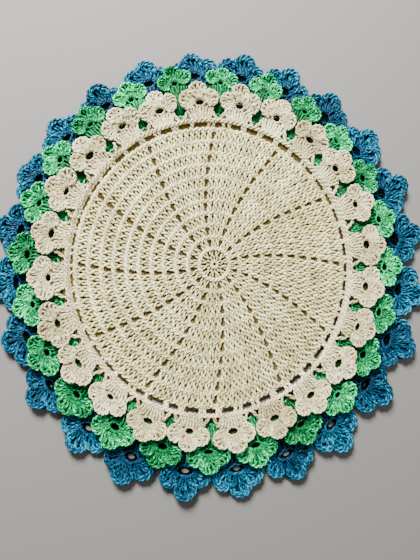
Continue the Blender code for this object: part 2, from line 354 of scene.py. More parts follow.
class Web:
    """Collects grids of points that close round a middle, and turns them into one thin cloth."""

    def __init__(self, colour):
        self.colour, self.count, self.area = colour, 0, 0.0
        self.points, self.quads, self.tones = [], [], []

    def patch(self, points, tone, open_cells=None):
        """Adds a grid of rings by columns. The tone is a number or a grid, and open_cells marks the
        cells that stay open."""
        rings, columns = points.shape[:2]
        index = np.arange(rings * columns).reshape(rings, columns) + self.count
        nextdoor = np.roll(index, -1, axis=1)
        quads = np.stack([index[:-1], index[1:], nextdoor[1:], nextdoor[:-1]], axis=-1)
        corners = points.reshape(-1, 3)[quads - self.count][..., :2]
        first, second = corners[..., 2, :] - corners[..., 0, :], corners[..., 3, :] - corners[..., 1, :]
        cells = 0.5 * (first[..., 0] * second[..., 1] - first[..., 1] * second[..., 0])
        keep = np.ones(cells.shape, bool) if open_cells is None else ~open_cells
        self.area += float(cells[keep].sum())
        self.quads.append(quads[keep])
        self.points.append(on_layer(points, self.colour).reshape(-1, 3))
        self.tones.append(np.broadcast_to(tone, (rings, columns)).reshape(-1))
        self.count += rings * columns

    def mesh(self, name):
        """One object of all the patches."""
        quads = np.concatenate(self.quads)
        made = new_object(name, np.concatenate(self.points), quads.reshape(-1), np.full(len(quads), 4),
                          np.concatenate(self.tones))
        thicken = made.modifiers.new("Thickness", "SOLIDIFY")
        thicken.thickness, thicken.offset = WEB, -1.0
        print(name, "has", len(quads), "cells and", round(self.area * 1e4, 1), "square cm")
        return made


webs = {colour: Web(colour) for colour in LAYERS}
print("webs to fill:", list(webs))

# %% [markdown]
# ## The disc
# Round n has n double crochets in each of its twelve sectors, then one chain, whose gap is the
# eyelet. The posts lean with the spiral of the eyelets, and a short bar of chain spans each eyelet
# near its outer end. Each round ends in a chain that stands a little proud, so the disc shows rings.
# The maker's tension varied, and the side to the lower right is worked a little tighter. A texture
# would repeat, where here every post gets its own stray, eye and thickness.

# %% A round of double crochet
YARN, YARN_SHARE = 1.05 * MM, 0.205  # a strand's radius, and its largest share of a stitch's width
POST_HEIGHT, BAND_HEIGHT = 1.62 * MM, 2.25 * MM  # heights of the posts and of the chain at their heads
POST_FOOT, POST_HEAD, POST_STEPS = -0.08, 0.93, 9  # a post's ends in round heights, and its points
EYELET_SHARE, EYELET_LEAN = 0.56, 0.05  # in stitches: an eyelet's width, the lean of the posts beside it
EYE, TIGHT_EYE = 0.27, 0.02  # in stitches: how far a strand swings aside, and how much more when tight
POST_WARP = 1.27  # above 1, so that the strands cross nearer the head than the foot
# How far chance moves a post: its place in stitches, its head in metres, and shares or radians else.
STRAY = dict(place=0.05, height=0.12 * MM, head=0.18 * MM, eye=0.10, start=0.28, thick=0.07)
SECTOR = 2 * np.pi / SECTORS


def hump(t, middle, width):
    """A soft rise to 1 about the middle."""
    return np.exp(-((t - middle) / width) ** 2)


def work_posts(yarn, number, middle, pitch):
    """The double crochets of a round."""
    count = SECTORS * number
    sector = np.repeat(np.arange(SECTORS), number)
    place = (EYELET_SHARE / 2 + 0.5 + np.arange(number)) / (number + EYELET_SHARE)
    stray = np.tile(place * SECTOR, SECTORS) + jitter(count, STRAY["place"] * pitch) / middle
    lean = np.zeros(number)
    lean[0], lean[-1] = -EYELET_LEAN * pitch / middle, EYELET_LEAN * pitch / middle
    edge = round_edge(number - 1)
    foot = polar(edge + POST_FOOT * ROUND_HEIGHT,
                 spoke_angle(sector, number + POST_FOOT - 0.5) + stray + np.tile(lean, SECTORS), POST_HEIGHT)
    head = polar(edge + POST_HEAD * ROUND_HEIGHT, spoke_angle(sector, number + POST_HEAD - 0.5) + stray,
                 POST_HEIGHT + jitter(count, STRAY["height"]))
    head[:, :2] += jitter((count, 2), STRAY["head"])
    tight = tightness(np.arctan2(foot[:, 1], foot[:, 0]))
    spread = (EYE + TIGHT_EYE * tight) * pitch * (1 + jitter(count, STRAY["eye"]))
    start = -np.pi / 2 + jitter(count, STRAY["start"])
    paths, rise = pairs(foot, head, spread, lift=0.55 * MM, start=start, steps=POST_STEPS, warp=POST_WARP)
    t = np.linspace(0.0, 1.0, POST_STEPS)
    swell = 1 + 0.16 * hump(t, 0.82, 0.14)
    uneven = 1 + 0.14 * np.tile(tight, 2)[:, None] + jitter((len(paths), 1), STRAY["thick"])
    # Painted shade: each post is darker at its foot and at its head, where it tucks under a chain.
    painted_end_shade = 0.25 * hump(t, 0.06, 0.13) + 0.15 * hump(t, 1.0, 0.1)
    yarn.lay(on_layer(paths, "cream"), min(YARN, YARN_SHARE * pitch) * uneven * swell, rise,
             tone=rng.uniform(0.38, 0.78, (len(paths), 1)) - painted_end_shade)


print("the last round has", SECTORS * ROUNDS, "posts")

# %% The chains of a round
BAND_BACK = 0.07 * ROUND_HEIGHT  # how far the closing chain lies inside the edge of its round
BAR_PLACE, BAR_REACH = 0.80, 0.55  # a bar's place in round heights, and half its length in stitches


def work_bars(yarn, number, middle, pitch):
    """The short bar of chain that spans each eyelet of a round."""
    over = spoke_angle(np.arange(SECTORS), number + BAR_PLACE - 0.5)
    radius, reach = round_edge(number - 1) + BAR_PLACE * ROUND_HEIGHT, BAR_REACH * pitch / middle
    start, end = (polar(radius, over + side * reach, POST_HEIGHT) for side in (-1, 1))
    paths, rise = pairs(start, end, spread=0.6 * MM, lift=0.5 * MM, start=jitter(SECTORS, 1.0))
    yarn.lay(on_layer(paths, "cream"), 0.85 * MM, rise, tone=(0.25, 0.6))


def work_round(yarn, number):
    """One round of double crochet with its closing chain."""
    middle = round_edge(number) - 0.5 * ROUND_HEIGHT
    pitch = SECTOR * middle / (number + EYELET_SHARE)
    work_posts(yarn, number, middle, pitch)
    close_round(yarn, round_edge(number) - BAND_BACK, SECTORS * (number + 1), BAND_HEIGHT,
                thick=YARN, spread=0.85 * MM, lift=0.6 * MM, tone=(0.45, 0.85), sink=0.3)
    work_bars(yarn, number, middle, pitch)


print("the last round closes at", round((round_edge(ROUNDS) - BAND_BACK) / MM, 1), "mm")

# %% [markdown]
# The middle is a tiny ring of chain with twelve long stitches on it, closed by a chain. The stitches
# could start as wide as they end, but there is no room for that at the ring, so they taper inwards.

# %% The middle of the disc
CENTRE_RING = 2.5 * MM


def work_centre(yarn):
    """The ring in the middle and the twelve long stitches that stand on it."""
    angle = np.radians(FIRST_SPOKE + 180.0 / SECTORS) + 2 * np.pi * np.arange(SECTORS) / SECTORS
    foot = polar(CENTRE_RING + 0.1 * MM, angle, POST_HEIGHT)
    head = polar(round_edge(1) - 0.9 * MM, angle - 0.12, POST_HEIGHT)
    taper = np.linspace(0.5, 1.0, POST_STEPS)
    paths, rise = pairs(foot, head, spread=1.2 * MM, lift=0.5 * MM,
                        start=-np.pi / 2 + jitter(SECTORS, 0.2), steps=POST_STEPS)
    yarn.lay(on_layer(paths, "cream"), np.tile(taper * YARN, (2 * SECTORS, 1)), rise)
    close_round(yarn, round_edge(1) - BAND_BACK, SECTORS * 2, BAND_HEIGHT,
                thick=0.96 * YARN, spread=0.85 * MM, lift=0.6 * MM)
    close_round(yarn, CENTRE_RING, 6, 1.7 * MM, thick=0.8 * MM, spread=0.5 * MM, lift=0.4 * MM, steps=6)


print("the first round closes at", round((round_edge(1) - BAND_BACK) / MM, 1), "mm")

# %% [markdown]
# The web behind the disc needs a slit for each eyelet, from under the chain of the round before to
# the middle of the round. Holes could be cut with a Boolean, but 120 cuts are slow. A grid that already
# has narrow cells where the eyelets are only has to leave them out. The web is dark with painted
# shade, and painted paler beside the eyelets, where light reaches it.

# %% The web of the disc
SLIT = (2.2 * MM, 0.6 * MM)  # from the middle of a round to its other rings, and half a slit's width
SLIT_RINGS = ((-1, 0.25, True), (0, 1.0, True), (1, 0.25, False))  # place, width, open on the inner side
COLUMNS = np.array([0.0, 0.08, 0.36, 0.64, 0.92, 1.0])  # of one sector, from slit to slit
EDGE_PAINTED_LIGHT = 0.32


def web_of_disc():
    """The web behind the disc: rings of points, and in each sector columns between two slits."""
    radii, rows = [1.6 * MM, 7.0 * MM, FIRST_ROUND], [0.2, 0.6, 1.0]
    half_widths, open_inside = [0.3 * MM] * 3, [False] * 3
    for number in range(2, ROUNDS + 1):
        middle = round_edge(number) - 0.5 * ROUND_HEIGHT
        for place, width, opens in SLIT_RINGS:
            radii.append(middle + place * SLIT[0])
            rows.append(number + place * SLIT[0] / ROUND_HEIGHT)
            half_widths.append(width * SLIT[1])
            open_inside.append(opens)
    radii, rows, half_widths = np.array(radii), np.array(rows), np.array(half_widths)
    angles = []
    for sector in range(SECTORS):
        start = spoke_angle(sector, rows) + half_widths / radii
        end = spoke_angle(sector + 1, rows) - half_widths / radii
        angles.append(start[:, None] + (end - start)[:, None] * COLUMNS)
    angles = np.concatenate(angles, axis=1)
    open_cells = np.zeros((len(radii) - 1, angles.shape[1]), bool)
    open_cells[:, len(COLUMNS) - 1::len(COLUMNS)] = np.array(open_inside[1:])[:, None]
    # Painted light beside the eyelets, and painted shade everywhere else.
    tones = np.where((COLUMNS == 0.0) | (COLUMNS == 1.0), EDGE_PAINTED_LIGHT, 0.0)
    tones = np.tile(tones, SECTORS) * rng.uniform(0.2, 1.3, angles.shape)
    webs["cream"].patch(polar(radii[:, None], angles, 0.95 * MM), tones, open_cells)


print("a slit is", round(2 * SLIT[1] / MM, 1), "mm wide")

# %% Work the disc
SPLIT = 9  # from this round on the yarn is a second piece, so that neither is too heavy
inner_yarn, outer_yarn = Yarn(sides=6), Yarn(sides=6)
work_centre(inner_yarn)
for number in range(2, ROUNDS + 1):
    work_round(inner_yarn if number < SPLIT else outer_yarn, number)
disc = [inner_yarn.mesh("disc_rounds_1_to_8"), outer_yarn.mesh("disc_rounds_9_to_11")]
web_of_disc()

# %% [markdown]
# ## The round of chain spaces
# Groups of two posts part 48 spaces, a wide one under each flower and a narrow one between two. A
# thin chain closes them, and carries the flowers. At the right and the left the round is drawn
# together, and a second chain narrows its spaces. Between two flowers stands a small tuft that ties
# their side petals to the chain. The same pairs and ropes serve, so no new kind of shape is needed.

# %% Posts, chain and tufts
FLOWERS, FIRST_FLOWER = 24, 96.5
SPACE_RADIUS, CHAIN_RADIUS = 121.5 * MM, 124.6 * MM
SPACE_SHIFTS = (6.9 * MM, 9.9 * MM)  # of the two posts beside a wide space, from its middle
CHAIN_STITCHES = FLOWERS * 8
TIGHT_SIDES = ((5.0, 50.0), (185.0, 60.0))  # middle and half width of each narrowed part, in degrees
TUCK, TUCK_END = 1.9 * MM, 0.3  # how far the second chain lies in, and the share in which it gets there
flower_step = 2 * np.pi / FLOWERS
under_flowers = np.radians(FIRST_FLOWER) + flower_step * np.arange(FLOWERS)
between_flowers = under_flowers + flower_step / 2


def work_space_posts(yarn):
    """The posts that part the spaces."""
    angle = np.concatenate([under_flowers + side * shift / SPACE_RADIUS
                            for side in (-1, 1) for shift in SPACE_SHIFTS])
    angle = angle + jitter(len(angle), 0.012)
    foot = polar(round_edge(ROUNDS) - 0.8 * MM, angle, POST_HEIGHT)
    head = polar(CHAIN_RADIUS, angle - 0.004 + jitter(len(angle), 0.014), POST_HEIGHT)
    paths, rise = pairs(foot, head, spread=1.0 * MM, lift=0.5 * MM,
                        start=-np.pi / 2 + jitter(len(angle), 0.5), steps=7)
    yarn.lay(on_layer(paths, "cream"), 0.9 * MM, rise, tone=(0.3, 0.75))


def work_second_chain(yarn):
    """The chain that narrows the spaces at the right and the left."""
    for middle, half in TIGHT_SIDES:
        half_turns = round(2 * half / 360.0 * CHAIN_STITCHES)
        t = np.linspace(-1.0, 1.0, 3 * half_turns + 1)
        tuck = TUCK * np.clip((1 - np.abs(t)) / TUCK_END, 0.0, 1.0)
        strands, rise = rope(polar(CHAIN_RADIUS - tuck, np.radians(middle + half * t), 1.4 * MM),
                             half_turns, spread=0.75 * MM, lift=0.4 * MM)
        tone = 0.45 + 0.15 * np.sin(7.0 * half * np.tile(t, (2, 1)))
        yarn.lay(on_layer(strands, "cream"), 0.85 * MM, rise, tone=tone)


def work_tufts(yarn):
    """The two short stitches between each two flowers."""
    for side in (-1, 1):
        foot = polar(CHAIN_RADIUS, between_flowers + side * 1.2 * MM / CHAIN_RADIUS, 2.0 * MM)
        reach = CHAIN_RADIUS + 9.5 * MM + jitter(FLOWERS, 0.8 * MM)
        aside = (side * 6.4 * MM + jitter(FLOWERS, 0.8 * MM)) / CHAIN_RADIUS
        head = polar(reach, between_flowers + aside, 1.5 * MM)
        tuft, rise = pairs(foot, head, spread=0.8 * MM, lift=0.5 * MM, start=jitter(FLOWERS, 1.0), steps=7)
        yarn.lay(on_layer(tuft, "cream"), 0.9 * MM, rise, tone=(0.2, 0.65))


spaces = Yarn()
work_space_posts(spaces)
close_round(spaces, CHAIN_RADIUS, CHAIN_STITCHES, 1.9 * MM,
            thick=0.95 * MM, spread=0.9 * MM, lift=0.5 * MM, tone=(0.3, 0.8))
work_second_chain(spaces)
work_tufts(spaces)
chain_spaces = spaces.mesh("chain_space_round")

# %% [markdown]
# The web between the disc and the flowers is open in the spaces on the near side only. Elsewhere
# brown yarn shows behind them, which could be more strands. But it lies in the shade, so the web
# fills those spaces, and its tone is painted shade and light that follows the light round the mat.

# %% The web of the chain spaces
OPEN_BELOW = -0.35  # the spaces are open where the sine of their direction is below this
WEB_RINGS = np.array([117.6, 120.5, 123.0, 128.6]) * MM
SPACE_COLUMNS = (0, 1, 3, 4)  # the columns of cells that lie in a space


def web_of_spaces():
    """The web behind the chain spaces: a band within them, one outside, and the posts. Except on the
    near side, the fans of the flowers were pushed under the spaces, and fill them from behind."""
    wide, narrow, half = 5.0 * MM / SPACE_RADIUS, 3.7 * MM / SPACE_RADIUS, flower_step / 2
    offsets = np.array([-wide, 0.0, wide, half - narrow, half, half + narrow])
    angles = (under_flowers[:, None] + offsets).reshape(-1)
    open_cells = np.zeros((len(WEB_RINGS) - 1, len(angles)), bool)
    for column in SPACE_COLUMNS:
        open_cells[1, column::len(offsets)] = np.sin(angles[column::len(offsets)]) < OPEN_BELOW
    # Painted light and shade: darker to the right, paler to the left and on the far side.
    tones = 0.1 - 0.16 * np.cos(angles) + 0.25 * np.clip(np.sin(angles), 0.0, 1.0)
    tones = tones + jitter((len(WEB_RINGS), len(angles)), 0.08)
    webs["cream"].patch(polar(WEB_RINGS[:, None], angles, 0.9 * MM), tones, open_cells)
    print("open cells in the web of the spaces:", int(open_cells.sum()))


web_of_spaces()

# %% [markdown]
# ## The flowers
# A flower starts as a wide fan of stitches in one space. A small ring of chain sits on the fan, and
# three petals are worked out of it. One flower could be copied 72 times, but handmade ones differ,
# and the tiers are larger on one side. So each draws its own size, turn and cup from the sizes of its
# tier.

# %% The sizes of the tiers
# A row for each tier: the ring of its flowers' holes, the length and width of a flower at which 1 is
# the shape below, where its fan starts, how far it is turned against the cream tier, and the seed of
# its chances. Then the side on which its holes lie further out, and that on which its flowers are
# longer and wider.
TIERS = {
    "cream": dict(holes=138.5 * MM, length=0.87, width=1.00, foot=124.8 * MM, turn=0.0, seed=3,
                  far_side=60.0, further=1.2 * MM, large_side=60.0, longer=0.04, wider=0.0),
    "green": dict(holes=156.0 * MM, length=0.82, width=0.96, foot=132.0 * MM, turn=7.2, seed=5,
                  far_side=63.0, further=3.2 * MM, large_side=-90.0, longer=0.12, wider=0.10),
    "blue": dict(holes=168.0 * MM, length=1.20, width=1.28, foot=148.6 * MM, turn=0.6, seed=9,
                 far_side=-22.0, further=4.1 * MM, large_side=-22.0, longer=0.165, wider=0.0),
}
# The ring's half axes, the height of a petal's cup, the radii of the yarn and of the rim's, how far
# the rim's strands swing, the tones of the fan, how open a hole is on the far and on the near side,
# the tone of the web in it, which is painted shade, and the number of posts and of rows along the rim
# of a petal.
# Painted shade: the fans of the green and blue tiers are darker, as they lie under the tier above.
LOOKS = {
    "cream": dict(ring=(3.3 * MM, 4.5 * MM), cup=1.3 * MM, thick=0.86 * MM, rim=0.80 * MM, edge=0.75 * MM,
                  fan=(0.3, 0.7), web=(1.0, 1.0), hole=1.0, posts=7, rows=1),
    "green": dict(ring=(3.1 * MM, 4.1 * MM), cup=2.2 * MM, thick=0.80 * MM, rim=0.78 * MM, edge=0.75 * MM,
                  fan=(0.0, 0.45), web=(1.0, 1.0), hole=1.0, posts=7, rows=1),
    "blue": dict(ring=(3.4 * MM, 5.4 * MM), cup=2.4 * MM, thick=0.94 * MM, rim=0.94 * MM, edge=0.55 * MM,
                 fan=(0.0, 0.4), web=(0.12, 0.45), hole=-0.1, posts=5, rows=2),
}
print("holes at", {colour: round(tier["holes"] / MM, 1) for colour, tier in TIERS.items()}, "mm")

# %% One flower's own sizes
PETALS = np.radians([-72.0, 0.0, 72.0])
PETAL_CENTRE, PETAL_RIM = 9.6 * MM, 7.9 * MM  # from the hole to a petal's middle, and on to its rim
FLOWER_ROOM = math.radians(7.5)  # half the sector that a flower may fill
CROWDING = 1.1  # how far the flowers at the right and the left are pushed to the far side, in degrees
# How far chance moves each: degrees for direction and twist, metres for radius, radians for turn,
# slopes for tip and roll, and shares for the rest.
UNEVEN = dict(direction=0.45, radius=0.9 * MM, twist=8.0, size=0.03, ring=0.15, cup=0.4, tip=0.09,
              roll=0.12, turn=0.11, rim=0.08, tone=0.08)
SHADING, SHADE_STEP = 0.1, 2.3  # the yarn's own shading, and its radians from flower to flower


class Flower:
    """One flower about its hole: X points out of the mat, and lengths are those before its stretch."""

    def __init__(self, colour, number, dice):
        tier, looks = TIERS[colour], LOOKS[colour]
        direction = FIRST_FLOWER + tier["turn"] + 360.0 / FLOWERS * number
        direction += CROWDING * math.cos(math.radians(direction)) + dice.uniform(-1, 1) * UNEVEN["direction"]
        far = math.cos(math.radians(direction - tier["far_side"]))
        large = math.cos(math.radians(direction - tier["large_side"]))
        size = 1 + dice.uniform(-1, 1) * UNEVEN["size"]
        self.colour, self.direction = colour, math.radians(direction)
        self.radius = tier["holes"] + tier["further"] * far + dice.uniform(-1, 1) * UNEVEN["radius"]
        self.twist = math.radians(dice.uniform(-1, 1) * UNEVEN["twist"])
        self.length = tier["length"] * (1 + tier["longer"] * large) * size
        widest = PETAL_CENTRE * math.sin(PETALS[-1] + abs(self.twist)) + PETAL_RIM + MM
        room = (self.radius + PETAL_CENTRE / 3) * math.tan(FLOWER_ROOM)
        self.width = min(tier["width"] * (1 + tier["wider"] * large) * size, room / widest)
        self.foot = (tier["foot"] - self.radius) / self.length
        self.ring = np.array(looks["ring"]) * (1 + jitter(2, UNEVEN["ring"]))
        self.cups = looks["cup"] * (1 + jitter(3, UNEVEN["cup"]))
        self.tips, self.rolls = jitter(3, UNEVEN["tip"]), jitter(3, UNEVEN["roll"])
        self.turns = PETALS + self.twist + jitter(3, UNEVEN["turn"])
        self.rims = PETAL_RIM * (1 + jitter(3, UNEVEN["rim"]))
        self.tone = SHADING * math.sin(SHADE_STEP * number) + jitter((), UNEVEN["tone"])


print("a petal's rim is", round((PETAL_CENTRE + PETAL_RIM) / MM, 1), "mm from the hole")

# %% [markdown]
# A petal is a disc with straight sides where it meets its neighbour, the ring or the fan. A Boolean
# of a disc and three planes would have sharp corners. Here the distances to the arc and to the sides
# are joined by a high power, which leaves the corners softly rounded.

# %% The outline of a petal
SIDE_NORMAL, SIDE_GAP = math.radians(125.0), 5.5 * MM  # the side between two petals, from the middle
HEEL_GAP, RING_GAP = 7.0 * MM, 5.3 * MM  # the sides towards the fan and towards the ring
SOFTNESS, SMALLEST = 10.0, 0.1


def rows_of_points(x, y, height):
    """Points from their coordinates, each a number or an array."""
    return np.stack(np.broadcast_arrays(x, y, height), axis=-1)


def petal_reach(flower, petal, way):
    """How far a petal's rim lies from the petal's middle, in a direction against its axis."""
    way = (way + np.pi) % (2 * np.pi) - np.pi
    heel = (way < 0, np.zeros(np.shape(way), bool), way > 0)[petal]
    side = np.where(heel, HEEL_GAP, SIDE_GAP) / np.maximum(np.cos(np.abs(way) - SIDE_NORMAL), SMALLEST)
    inner = RING_GAP / np.maximum(-np.cos(way), SMALLEST)
    return (flower.rims[petal] ** -SOFTNESS + side ** -SOFTNESS + inner ** -SOFTNESS) ** (-1 / SOFTNESS)


def petal_rim(flower, petal, way, height=0.0, share=1.0):
    """Points of a petal's rim, or of a row inside it, from their direction about the petal's middle."""
    turn, distance = flower.turns[petal], share * petal_reach(flower, petal, way)
    along, aside = PETAL_CENTRE + distance * np.cos(way), distance * np.sin(way)
    return rows_of_points(along * math.cos(turn) - aside * math.sin(turn),
                          along * math.sin(turn) + aside * math.cos(turn), height)


def hole_ring(flower, angle, height=0.0):
    """Points of the ring round the hole."""
    return rows_of_points(flower.ring[0] * np.cos(angle), flower.ring[1] * np.sin(angle), height)


print("petals side by side part", round(SIDE_GAP / MM, 1), "mm from their middles")

# %% [markdown]
# A petal is cupped like a spoon, because its rim is a little tight. It could be sculpted, but a
# function of the place, the dish, is the same each run, and every strand of the flower is laid on it.

# %% The dish of a flower
HEEL_CUP = 0.15  # height of the cup at the heel of a petal, where that at its tip is 1
CUP_END = 1.15  # where the cup stops rising, in reaches of the petal
FADE_END, FADE = 1.7, 0.6  # where it has faded out, and over how many reaches
LOWEST = -0.3 * MM  # the deepest that a petal may dip


def dish(flower, x, y):
    """How far the flower rises above its layer: each petal is a spoon that opens outwards."""
    height, nearest = np.zeros(x.shape), np.full(x.shape, np.inf)
    for petal, turn in enumerate(flower.turns):
        along = math.cos(turn) * x + math.sin(turn) * y - PETAL_CENTRE
        aside = math.cos(turn) * y - math.sin(turn) * x
        way = np.arctan2(aside, along)
        share = np.hypot(along, aside) / petal_reach(flower, petal, way)
        cup = flower.cups[petal] * (HEEL_CUP + (1 - HEEL_CUP) / 2 * (1 + np.cos(way)))
        rise = cup * np.minimum(share, CUP_END) ** 2
        rise = rise + flower.tips[petal] * along + flower.rolls[petal] * aside
        rise = np.maximum(rise * np.clip((FADE_END - share) / FADE, 0.0, 1.0), LOWEST)
        height = np.where(share < nearest, rise, height)
        nearest = np.minimum(share, nearest)
    return height


def place(flower, points):
    """From the flower's own plane to the mat."""
    x, y = points[..., 0], points[..., 1]
    height = points[..., 2] + dish(flower, x, y)
    x, y = x * flower.length + flower.radius, y * flower.width
    return rows_of_points(x * math.cos(flower.direction) - y * math.sin(flower.direction),
                          x * math.sin(flower.direction) + y * math.cos(flower.direction), height)


print("cups, before chance:", {colour: round(looks["cup"] / MM, 1) for colour, looks in LOOKS.items()})

# %% [markdown]
# The fan and the ring come first. The fan's stitches stand on the chain and spread, a little further
# back at its ends, and the ring is a short rope round the hole.

# %% The fan and the ring
FAN_POSTS, FAN_FOOT, FAN_WIDTH = 9, 7.6 * MM, 11.6 * MM  # number, and half widths at foot and heads
FAN_BACK, FAN_BEND = 3.2 * MM, 2.2 * MM  # from the hole back to its heads, and how much more at its ends
RING_POINTS, RING_STITCHES = 20, 8


def lay_on(flower, yarn, made, width, tone, closed=False):
    """Lays strands on a flower; made holds their paths and their rise."""
    paths, rise = made
    if isinstance(tone, tuple):
        tone = rng.uniform(*tone, (len(paths), 1))
    yarn.lay(on_layer(place(flower, paths), flower.colour), width, rise, closed, tone + flower.tone)


def work_fan(yarn, flower, looks):
    """The fan, and the ring on it."""
    across = np.linspace(-1.0, 1.0, FAN_POSTS)
    foot = rows_of_points(flower.foot, FAN_FOOT * across, 1.8 * MM)
    head = rows_of_points(-FAN_BACK - FAN_BEND * across ** 2, FAN_WIDTH * across, 1.5 * MM)
    head[:, :2] += jitter((FAN_POSTS, 2), 0.4 * MM)
    posts = pairs(foot, head, spread=0.55 * MM, lift=0.5 * MM, start=jitter(FAN_POSTS, 1.5),
                  turn=2.6 * np.pi, steps=7)
    lay_on(flower, yarn, posts, looks["thick"], looks["fan"])
    ring = hole_ring(flower, 2 * np.pi * np.arange(RING_POINTS) / RING_POINTS, 1.7 * MM)
    chain = rope(ring, RING_STITCHES, spread=0.5 * MM, lift=0.45 * MM, closed=True)
    lay_on(flower, yarn, chain, looks["thick"] * 0.8, (0.2, 0.5), closed=True)


print("a fan is", round(2 * FAN_WIDTH / MM, 1), "mm wide at its heads")

# %% [markdown]
# The stitches of a petal follow its own lines, which leave the ring close together and fan out to the
# rim. Straight spokes would leave the corners bare, so the lines are curves. The posts are crowded
# and thin at the ring, and widen outwards, where loose loops lie over them. The rim is a chain, whose
# loops catch the light.

# %% The posts of a petal
LEAVES, PASSES, ARRIVES = (math.radians(angle) for angle in (34.0, 27.0, 112.0))  # half widths of the lines
LINE_MIDDLE = 8.8 * MM  # from the hole to the point that bends a line
POST_RISE = ((0.0, 0.35, 1.0), (2.1 * MM, 1.6 * MM, 1.5 * MM))  # shares of a post, and its heights there
SPREAD_AT_RING, SPREAD_AT_RIM = 0.35 * MM, 5.0 * MM  # the second is shared by all the posts


def petal_lines(flower, petal, across, share, height):
    """The lines that a petal's stitches follow, as curves with three control points. across runs from
    -1 to 1 over the petal, and share from 0 at the ring to 1 at the rim."""
    turn = flower.turns[petal]
    start = hole_ring(flower, turn + LEAVES * across)[:, None]
    middle = polar(LINE_MIDDLE, turn + PASSES * across)[:, None]
    end = petal_rim(flower, petal, ARRIVES * across)[:, None]
    share = share[..., None]
    points = (1 - share) ** 2 * start + 2 * share * (1 - share) * middle + share ** 2 * end
    points[..., 2] = height
    return points


def work_petal_posts(yarn, flower, petal, looks):
    """The posts from the ring to the rim, painted darker at the ring and lighter at the rim."""
    along, count = np.linspace(-0.02, 0.96, 8), looks["posts"]
    across = (np.arange(count) + 0.5) / count * 2 - 1 + jitter(count, 0.25 / count)
    posts = petal_lines(flower, petal, across, along, np.interp(along, *POST_RISE))
    posts += jitter(posts.shape, 0.15 * MM)
    swing = jitter((count, 1), np.pi) + 3.0 * np.pi * along
    own, spots = rng.uniform(0.0, 0.3, (2 * count, 1)), rng.uniform(0.0, 0.4, (2 * count, len(along)))
    spread = np.interp(along, (0.0, 1.0), (SPREAD_AT_RING, SPREAD_AT_RIM / count))
    width = np.tile(looks["thick"] * np.interp(along, (0.0, 0.5), (0.7, 1.0)), (2 * count, 1))
    # Painted shade and light: the tone falls towards the ring and rises towards the rim.
    shade = own + spots + 0.2 * (along - 0.4)
    lay_on(flower, yarn, twist(posts, swing, spread, lift=0.55 * MM), width, shade)


print("posts in a petal:", {colour: looks["posts"] for colour, looks in LOOKS.items()})

# %% The loops and the rim of a petal
LOOPS = 5
# A row for each chain along the rim: its share of the petal's reach, its height, its stitches, and how
# far it runs towards a neighbour and towards the fan, in degrees.
EDGE_ROWS = ((0.98, 1.8 * MM, 8, (108.0, 130.0)), (0.75, 2.1 * MM, 5, (72.0, 72.0)))


def work_loops(yarn, flower, petal, looks):
    """The short loops that lie over the posts."""
    across = np.linspace(-0.85, 0.85, LOOPS) + jitter(LOOPS, 0.15)
    share = rng.uniform(0.45, 0.75, (LOOPS, 1)) + np.linspace(0.0, 0.22, 4)
    loops = petal_lines(flower, petal, across, share, 2.2 * MM)
    swing = jitter((LOOPS, 1), np.pi) + np.linspace(0.0, 2.6, 4)
    made = twist(loops, swing, spread=0.8 * MM, lift=0.4 * MM)
    lay_on(flower, yarn, made, looks["thick"] * 0.9, (0.25, 0.7))


def work_rim(yarn, flower, petal, looks):
    """The one or two chains along the rim."""
    for share, height, stitches, (beside, heel) in EDGE_ROWS[:looks["rows"]]:
        ends = -heel if petal == 0 else -beside, heel if petal == 2 else beside
        way = np.radians(np.linspace(*ends, 3 * stitches + 1))
        made = rope(petal_rim(flower, petal, way, height, share), stitches, looks["edge"], lift=0.55 * MM,
                    start=jitter((), 1.5))
        lay_on(flower, yarn, made, looks["rim"], rng.uniform(0.2, 0.85, made[1].shape[:2]))


print("rows along a rim:", {colour: looks["rows"] for colour, looks in LOOKS.items()})

# %% [markdown]
# Behind a flower the web runs from its ring to its rims and down to the foot of its fan. A round
# patch would show beside the petals, so it is a grid of rings that follows the outline. The blue
# flowers stand loose, and their holes show dark with shade, except on the near side. So the web
# nearly closes their holes, and is painted dark there, as painted shade.

# %% The web of a flower
WEB_COLUMNS, WEB_SHARES = 44, np.array([0.0, 0.3, 0.55, 0.75, 0.9, 1.0])
WEB_EDGE = 0.6 * MM  # how far the web stays inside the rim
NOTCH = math.radians(40.0)  # from a petal's axis to the notch beside it
NOTCHES, WAIST = 11.0 * MM, 12.6 * MM  # the web's reach beside the heel, and at the fan's heads
NEAR_SIDE = (-0.5, -0.8)  # sines of the directions between which holes go from far to near


def web_edge(flower, angle):
    """How far the web reaches from the hole, in each direction."""
    off = np.abs((angle[:, None] - flower.turns + np.pi) % (2 * np.pi) - np.pi).min(axis=1)
    inside = (PETAL_RIM - WEB_EDGE) ** 2 - (PETAL_CENTRE * np.sin(off)) ** 2
    petal = PETAL_CENTRE * np.cos(off) + np.sqrt(np.maximum(inside, 0.0))
    knots = [PETALS[-1] + NOTCH, math.radians(135.0), math.atan2(FAN_FOOT, flower.foot), math.pi]
    edges = [NOTCHES, WAIST, math.hypot(flower.foot, FAN_FOOT - MM), -flower.foot]
    folded = np.abs((angle + np.pi) % (2 * np.pi) - np.pi)
    return np.where(off < NOTCH, petal, np.interp(folded, knots, edges))


